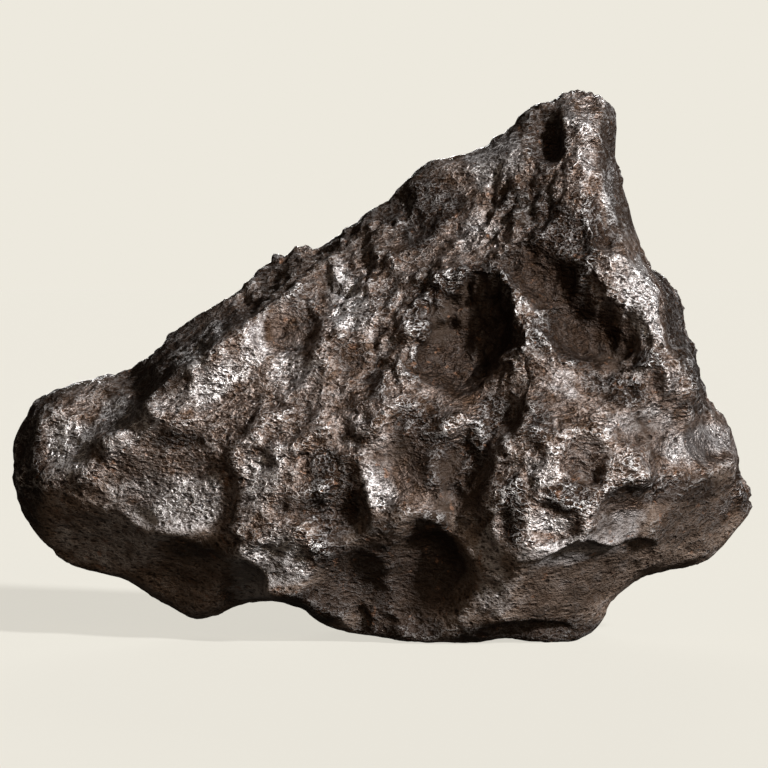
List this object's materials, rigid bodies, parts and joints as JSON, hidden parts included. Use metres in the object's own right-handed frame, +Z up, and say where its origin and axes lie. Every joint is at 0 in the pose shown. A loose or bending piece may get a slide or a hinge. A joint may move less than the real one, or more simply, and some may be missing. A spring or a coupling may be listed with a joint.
{
  "type": "iron meteorite",
  "caption": "Iron meteorite: one pointed, wedge-shaped mass of metal with scooped hollows all over, standing on its own worn base.",
  "frame": {"origin": "centre of the bounding box on the plane the meteorite stands on", "axes": "+X along its length towards the high end, +Z up towards the peak, -Y towards the front face with the deepest hollows"},
  "size_m": [0.2501, 0.1319, 0.1839],
  "materials": {
    "iron": "dark brown-grey satin iron, rubbed silvery on the ridges and rust-brown in the hollows"
  },
  "bodies": {
    "root": {"meteorite": "iron"}
  },
  "joints": []
}
